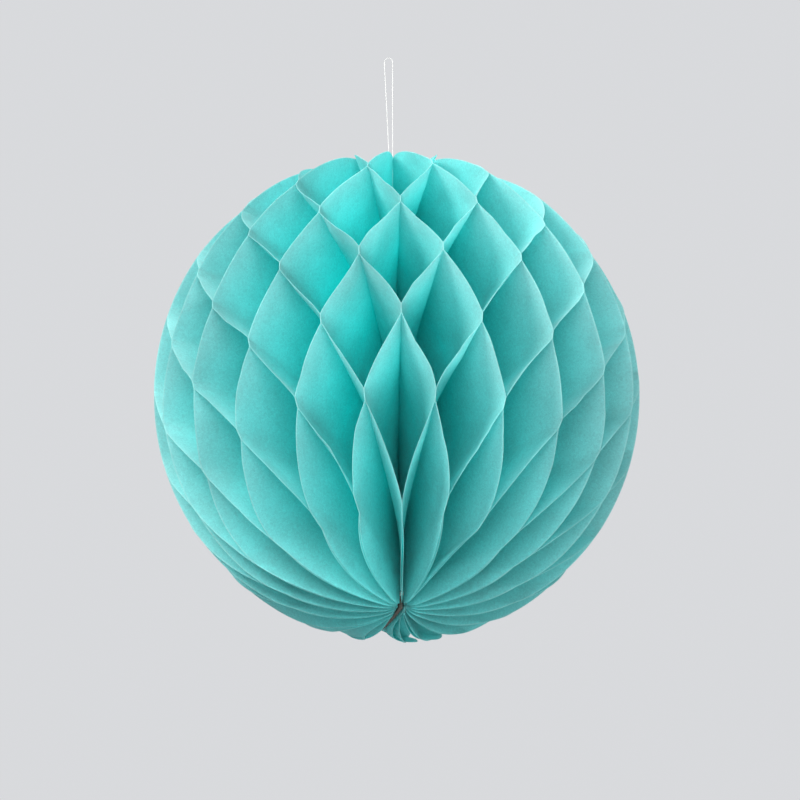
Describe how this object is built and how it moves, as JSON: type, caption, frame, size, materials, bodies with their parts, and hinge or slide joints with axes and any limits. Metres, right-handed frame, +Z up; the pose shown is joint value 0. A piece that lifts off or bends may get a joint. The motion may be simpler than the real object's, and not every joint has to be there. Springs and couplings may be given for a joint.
{
  "type": "paper honeycomb ball",
  "caption": "Round honeycomb ball of tissue leaves stitched along one spine between two cover boards, opened full circle and hung on a thread loop.",
  "frame": {"origin": "top of the thread loop, where the ball hangs", "axes": "+Z up along the ball's spine; +Y towards the side where the two covers meet; +X completes the right-handed set"},
  "size_m": [0.25, 0.249, 0.3559],
  "materials": {
    "tissue": "matt thin tissue, slightly see-through",
    "cover_board": "matt grey board",
    "thread": "white cotton thread",
    "adhesive": "double-sided paper tape"
  },
  "bodies": {
    "thread": {"hanging_loop": "thread"},
    "ball_core": {"spine_thread": "thread", "spine_knot_top": "thread", "spine_knot_bottom": "thread", "loop_knot": "thread", "cover_fixed": "cover_board"},
    "swinging_cover": {"cover_swinging": "cover_board", "adhesive_strip_upper": "adhesive", "adhesive_strip_lower": "adhesive"},
    "leaf_01": {"tissue_leaf_01": "tissue"},
    "leaf_02": {"tissue_leaf_02": "tissue"},
    "leaf_03": {"tissue_leaf_03": "tissue"},
    "leaf_04": {"tissue_leaf_04": "tissue"},
    "leaf_05": {"tissue_leaf_05": "tissue"},
    "leaf_06": {"tissue_leaf_06": "tissue"},
    "leaf_07": {"tissue_leaf_07": "tissue"},
    "leaf_08": {"tissue_leaf_08": "tissue"},
    "leaf_09": {"tissue_leaf_09": "tissue"},
    "leaf_10": {"tissue_leaf_10": "tissue"},
    "leaf_11": {"tissue_leaf_11": "tissue"},
    "leaf_12": {"tissue_leaf_12": "tissue"},
    "leaf_13": {"tissue_leaf_13": "tissue"},
    "leaf_14": {"tissue_leaf_14": "tissue"},
    "leaf_15": {"tissue_leaf_15": "tissue"},
    "leaf_16": {"tissue_leaf_16": "tissue"},
    "leaf_17": {"tissue_leaf_17": "tissue"},
    "leaf_18": {"tissue_leaf_18": "tissue"},
    "leaf_19": {"tissue_leaf_19": "tissue"},
    "leaf_20": {"tissue_leaf_20": "tissue"},
    "leaf_21": {"tissue_leaf_21": "tissue"},
    "leaf_22": {"tissue_leaf_22": "tissue"},
    "leaf_23": {"tissue_leaf_23": "tissue"},
    "leaf_24": {"tissue_leaf_24": "tissue"},
    "leaf_25": {"tissue_leaf_25": "tissue"},
    "leaf_26": {"tissue_leaf_26": "tissue"},
    "leaf_27": {"tissue_leaf_27": "tissue"},
    "leaf_28": {"tissue_leaf_28": "tissue"},
    "leaf_29": {"tissue_leaf_29": "tissue"},
    "leaf_30": {"tissue_leaf_30": "tissue"},
    "leaf_31": {"tissue_leaf_31": "tissue"},
    "leaf_32": {"tissue_leaf_32": "tissue"},
    "leaf_33": {"tissue_leaf_33": "tissue"},
    "leaf_34": {"tissue_leaf_34": "tissue"},
    "leaf_35": {"tissue_leaf_35": "tissue"},
    "leaf_36": {"tissue_leaf_36": "tissue"},
    "leaf_37": {"tissue_leaf_37": "tissue"},
    "leaf_38": {"tissue_leaf_38": "tissue"}
  },
  "joints": [
    {"name": "ball_spin", "type": "hinge", "parent": "thread", "child": "ball_core", "pos_m": [0, 0, -0.107], "axis": [0, 0, 1], "continuous": true},
    {"name": "cover_swing", "type": "hinge", "parent": "ball_core", "child": "swinging_cover", "pos_m": [0, 0, -0.231], "axis": [0, 0, 1], "range_deg": [-352.11, 0]},
    {"name": "leaf_01_turn", "type": "hinge", "parent": "ball_core", "child": "leaf_01", "pos_m": [0, 0, -0.231], "axis": [0, 0, 1], "range_deg": [-4.67, 0]},
    {"name": "leaf_02_turn", "type": "hinge", "parent": "ball_core", "child": "leaf_02", "pos_m": [0, 0, -0.231], "axis": [0, 0, 1], "range_deg": [-13.94, 0]},
    {"name": "leaf_03_turn", "type": "hinge", "parent": "ball_core", "child": "leaf_03", "pos_m": [0, 0, -0.231], "axis": [0, 0, 1], "range_deg": [-23.2, 0]},
    {"name": "leaf_04_turn", "type": "hinge", "parent": "ball_core", "child": "leaf_04", "pos_m": [0, 0, -0.231], "axis": [0, 0, 1], "range_deg": [-32.47, 0]},
    {"name": "leaf_05_turn", "type": "hinge", "parent": "ball_core", "child": "leaf_05", "pos_m": [0, 0, -0.231], "axis": [0, 0, 1], "range_deg": [-41.74, 0]},
    {"name": "leaf_06_turn", "type": "hinge", "parent": "ball_core", "child": "leaf_06", "pos_m": [0, 0, -0.231], "axis": [0, 0, 1], "range_deg": [-51, 0]},
    {"name": "leaf_07_turn", "type": "hinge", "parent": "ball_core", "child": "leaf_07", "pos_m": [0, 0, -0.231], "axis": [0, 0, 1], "range_deg": [-60.27, 0]},
    {"name": "leaf_08_turn", "type": "hinge", "parent": "ball_core", "child": "leaf_08", "pos_m": [0, 0, -0.231], "axis": [0, 0, 1], "range_deg": [-69.54, 0]},
    {"name": "leaf_09_turn", "type": "hinge", "parent": "ball_core", "child": "leaf_09", "pos_m": [0, 0, -0.231], "axis": [0, 0, 1], "range_deg": [-78.8, 0]},
    {"name": "leaf_10_turn", "type": "hinge", "parent": "ball_core", "child": "leaf_10", "pos_m": [0, 0, -0.231], "axis": [0, 0, 1], "range_deg": [-88.07, 0]},
    {"name": "leaf_11_turn", "type": "hinge", "parent": "ball_core", "child": "leaf_11", "pos_m": [0, 0, -0.231], "axis": [0, 0, 1], "range_deg": [-97.34, 0]},
    {"name": "leaf_12_turn", "type": "hinge", "parent": "ball_core", "child": "leaf_12", "pos_m": [0, 0, -0.231], "axis": [0, 0, 1], "range_deg": [-106.6, 0]},
    {"name": "leaf_13_turn", "type": "hinge", "parent": "ball_core", "child": "leaf_13", "pos_m": [0, 0, -0.231], "axis": [0, 0, 1], "range_deg": [-115.87, 0]},
    {"name": "leaf_14_turn", "type": "hinge", "parent": "ball_core", "child": "leaf_14", "pos_m": [0, 0, -0.231], "axis": [0, 0, 1], "range_deg": [-125.14, 0]},
    {"name": "leaf_15_turn", "type": "hinge", "parent": "ball_core", "child": "leaf_15", "pos_m": [0, 0, -0.231], "axis": [0, 0, 1], "range_deg": [-134.4, 0]},
    {"name": "leaf_16_turn", "type": "hinge", "parent": "ball_core", "child": "leaf_16", "pos_m": [0, 0, -0.231], "axis": [0, 0, 1], "range_deg": [-143.67, 0]},
    {"name": "leaf_17_turn", "type": "hinge", "parent": "ball_core", "child": "leaf_17", "pos_m": [0, 0, -0.231], "axis": [0, 0, 1], "range_deg": [-152.94, 0]},
    {"name": "leaf_18_turn", "type": "hinge", "parent": "ball_core", "child": "leaf_18", "pos_m": [0, 0, -0.231], "axis": [0, 0, 1], "range_deg": [-162.21, 0]},
    {"name": "leaf_19_turn", "type": "hinge", "parent": "ball_core", "child": "leaf_19", "pos_m": [0, 0, -0.231], "axis": [0, 0, 1], "range_deg": [-171.47, 0]},
    {"name": "leaf_20_turn", "type": "hinge", "parent": "ball_core", "child": "leaf_20", "pos_m": [0, 0, -0.231], "axis": [0, 0, 1], "range_deg": [-180.74, 0]},
    {"name": "leaf_21_turn", "type": "hinge", "parent": "ball_core", "child": "leaf_21", "pos_m": [0, 0, -0.231], "axis": [0, 0, 1], "range_deg": [-190, 0]},
    {"name": "leaf_22_turn", "type": "hinge", "parent": "ball_core", "child": "leaf_22", "pos_m": [0, 0, -0.231], "axis": [0, 0, 1], "range_deg": [-199.27, 0]},
    {"name": "leaf_23_turn", "type": "hinge", "parent": "ball_core", "child": "leaf_23", "pos_m": [0, 0, -0.231], "axis": [0, 0, 1], "range_deg": [-208.54, 0]},
    {"name": "leaf_24_turn", "type": "hinge", "parent": "ball_core", "child": "leaf_24", "pos_m": [0, 0, -0.231], "axis": [0, 0, 1], "range_deg": [-217.81, 0]},
    {"name": "leaf_25_turn", "type": "hinge", "parent": "ball_core", "child": "leaf_25", "pos_m": [0, 0, -0.231], "axis": [0, 0, 1], "range_deg": [-227.07, 0]},
    {"name": "leaf_26_turn", "type": "hinge", "parent": "ball_core", "child": "leaf_26", "pos_m": [0, 0, -0.231], "axis": [0, 0, 1], "range_deg": [-236.34, 0]},
    {"name": "leaf_27_turn", "type": "hinge", "parent": "ball_core", "child": "leaf_27", "pos_m": [0, 0, -0.231], "axis": [0, 0, 1], "range_deg": [-245.61, 0]},
    {"name": "leaf_28_turn", "type": "hinge", "parent": "ball_core", "child": "leaf_28", "pos_m": [0, 0, -0.231], "axis": [0, 0, 1], "range_deg": [-254.87, 0]},
    {"name": "leaf_29_turn", "type": "hinge", "parent": "ball_core", "child": "leaf_29", "pos_m": [0, 0, -0.231], "axis": [0, 0, 1], "range_deg": [-264.14, 0]},
    {"name": "leaf_30_turn", "type": "hinge", "parent": "ball_core", "child": "leaf_30", "pos_m": [0, 0, -0.231], "axis": [0, 0, 1], "range_deg": [-273.41, 0]},
    {"name": "leaf_31_turn", "type": "hinge", "parent": "ball_core", "child": "leaf_31", "pos_m": [0, 0, -0.231], "axis": [0, 0, 1], "range_deg": [-282.67, 0]},
    {"name": "leaf_32_turn", "type": "hinge", "parent": "ball_core", "child": "leaf_32", "pos_m": [0, 0, -0.231], "axis": [0, 0, 1], "range_deg": [-291.94, 0]},
    {"name": "leaf_33_turn", "type": "hinge", "parent": "ball_core", "child": "leaf_33", "pos_m": [0, 0, -0.231], "axis": [0, 0, 1], "range_deg": [-301.21, 0]},
    {"name": "leaf_34_turn", "type": "hinge", "parent": "ball_core", "child": "leaf_34", "pos_m": [0, 0, -0.231], "axis": [0, 0, 1], "range_deg": [-310.47, 0]},
    {"name": "leaf_35_turn", "type": "hinge", "parent": "ball_core", "child": "leaf_35", "pos_m": [0, 0, -0.231], "axis": [0, 0, 1], "range_deg": [-319.74, 0]},
    {"name": "leaf_36_turn", "type": "hinge", "parent": "ball_core", "child": "leaf_36", "pos_m": [0, 0, -0.231], "axis": [0, 0, 1], "range_deg": [-329.01, 0]},
    {"name": "leaf_37_turn", "type": "hinge", "parent": "ball_core", "child": "leaf_37", "pos_m": [0, 0, -0.231], "axis": [0, 0, 1], "range_deg": [-338.27, 0]},
    {"name": "leaf_38_turn", "type": "hinge", "parent": "ball_core", "child": "leaf_38", "pos_m": [0, 0, -0.231], "axis": [0, 0, 1], "range_deg": [-347.54, 0]}
  ],
  "couplings": [
    {"joint": "leaf_01_turn", "follows": "cover_swing", "ratio": 0.013116},
    {"joint": "leaf_02_turn", "follows": "cover_swing", "ratio": 0.039434},
    {"joint": "leaf_03_turn", "follows": "cover_swing", "ratio": 0.065752},
    {"joint": "leaf_04_turn", "follows": "cover_swing", "ratio": 0.092071},
    {"joint": "leaf_05_turn", "follows": "cover_swing", "ratio": 0.11839},
    {"joint": "leaf_06_turn", "follows": "cover_swing", "ratio": 0.14471},
    {"joint": "leaf_07_turn", "follows": "cover_swing", "ratio": 0.17103},
    {"joint": "leaf_08_turn", "follows": "cover_swing", "ratio": 0.19734},
    {"joint": "leaf_09_turn", "follows": "cover_swing", "ratio": 0.22366},
    {"joint": "leaf_10_turn", "follows": "cover_swing", "ratio": 0.24998},
    {"joint": "leaf_11_turn", "follows": "cover_swing", "ratio": 0.2763},
    {"joint": "leaf_12_turn", "follows": "cover_swing", "ratio": 0.30262},
    {"joint": "leaf_13_turn", "follows": "cover_swing", "ratio": 0.32893},
    {"joint": "leaf_14_turn", "follows": "cover_swing", "ratio": 0.35525},
    {"joint": "leaf_15_turn", "follows": "cover_swing", "ratio": 0.38157},
    {"joint": "leaf_16_turn", "follows": "cover_swing", "ratio": 0.40789},
    {"joint": "leaf_17_turn", "follows": "cover_swing", "ratio": 0.43421},
    {"joint": "leaf_18_turn", "follows": "cover_swing", "ratio": 0.46052},
    {"joint": "leaf_19_turn", "follows": "cover_swing", "ratio": 0.48684},
    {"joint": "leaf_20_turn", "follows": "cover_swing", "ratio": 0.51316},
    {"joint": "leaf_21_turn", "follows": "cover_swing", "ratio": 0.53948},
    {"joint": "leaf_22_turn", "follows": "cover_swing", "ratio": 0.5658},
    {"joint": "leaf_23_turn", "follows": "cover_swing", "ratio": 0.59211},
    {"joint": "leaf_24_turn", "follows": "cover_swing", "ratio": 0.61843},
    {"joint": "leaf_25_turn", "follows": "cover_swing", "ratio": 0.64475},
    {"joint": "leaf_26_turn", "follows": "cover_swing", "ratio": 0.67107},
    {"joint": "leaf_27_turn", "follows": "cover_swing", "ratio": 0.69739},
    {"joint": "leaf_28_turn", "follows": "cover_swing", "ratio": 0.7237},
    {"joint": "leaf_29_turn", "follows": "cover_swing", "ratio": 0.75002},
    {"joint": "leaf_30_turn", "follows": "cover_swing", "ratio": 0.77634},
    {"joint": "leaf_31_turn", "follows": "cover_swing", "ratio": 0.80266},
    {"joint": "leaf_32_turn", "follows": "cover_swing", "ratio": 0.82898},
    {"joint": "leaf_33_turn", "follows": "cover_swing", "ratio": 0.85529},
    {"joint": "leaf_34_turn", "follows": "cover_swing", "ratio": 0.88161},
    {"joint": "leaf_35_turn", "follows": "cover_swing", "ratio": 0.90793},
    {"joint": "leaf_36_turn", "follows": "cover_swing", "ratio": 0.93425},
    {"joint": "leaf_37_turn", "follows": "cover_swing", "ratio": 0.96057},
    {"joint": "leaf_38_turn", "follows": "cover_swing", "ratio": 0.98688}
  ]
}
